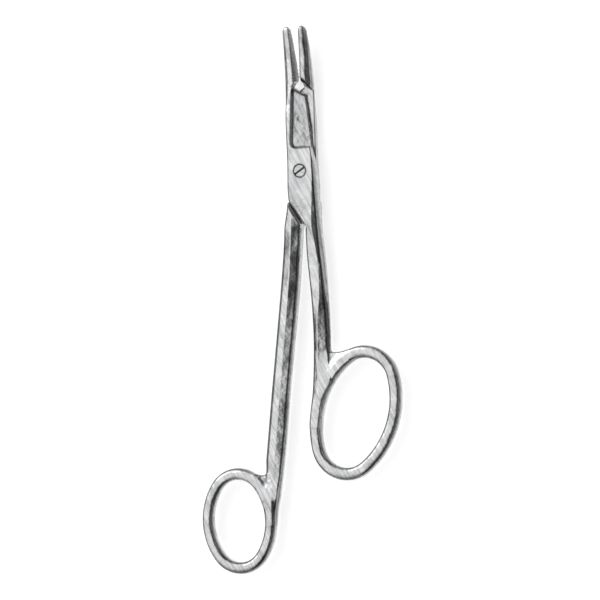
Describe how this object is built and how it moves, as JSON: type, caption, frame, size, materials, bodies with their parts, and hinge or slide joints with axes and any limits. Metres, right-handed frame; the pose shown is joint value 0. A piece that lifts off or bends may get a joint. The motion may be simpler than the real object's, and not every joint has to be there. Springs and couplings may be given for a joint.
{
  "type": "surgical needle holder",
  "caption": "Hand-held needle holder with scissor blades behind its serrated jaws, crossed halves on a slotted screw and two oval finger rings of unequal reach.",
  "frame": {"origin": "on the pivot axis, at the flat back of the joint that the instrument rests on", "axes": "+Y to the jaw tips, +X to the thumb ring's side, +Z along the pivot axis out of the screw head"},
  "size_m": [0.0627, 0.1596, 0.0065],
  "materials": {
    "satin_steel": "satin ground stainless steel",
    "screw_steel": "turned stainless steel"
  },
  "bodies": {
    "rear_half": {"rear_half": "satin_steel", "pivot_screw": "screw_steel"},
    "front_half": {"front_half": "satin_steel"}
  },
  "joints": [
    {"name": "pivot", "type": "hinge", "parent": "rear_half", "child": "front_half", "pos_m": [0, 0, 0.0029], "axis": [0, 0, 1], "range_deg": [-3.6, 36]}
  ]
}
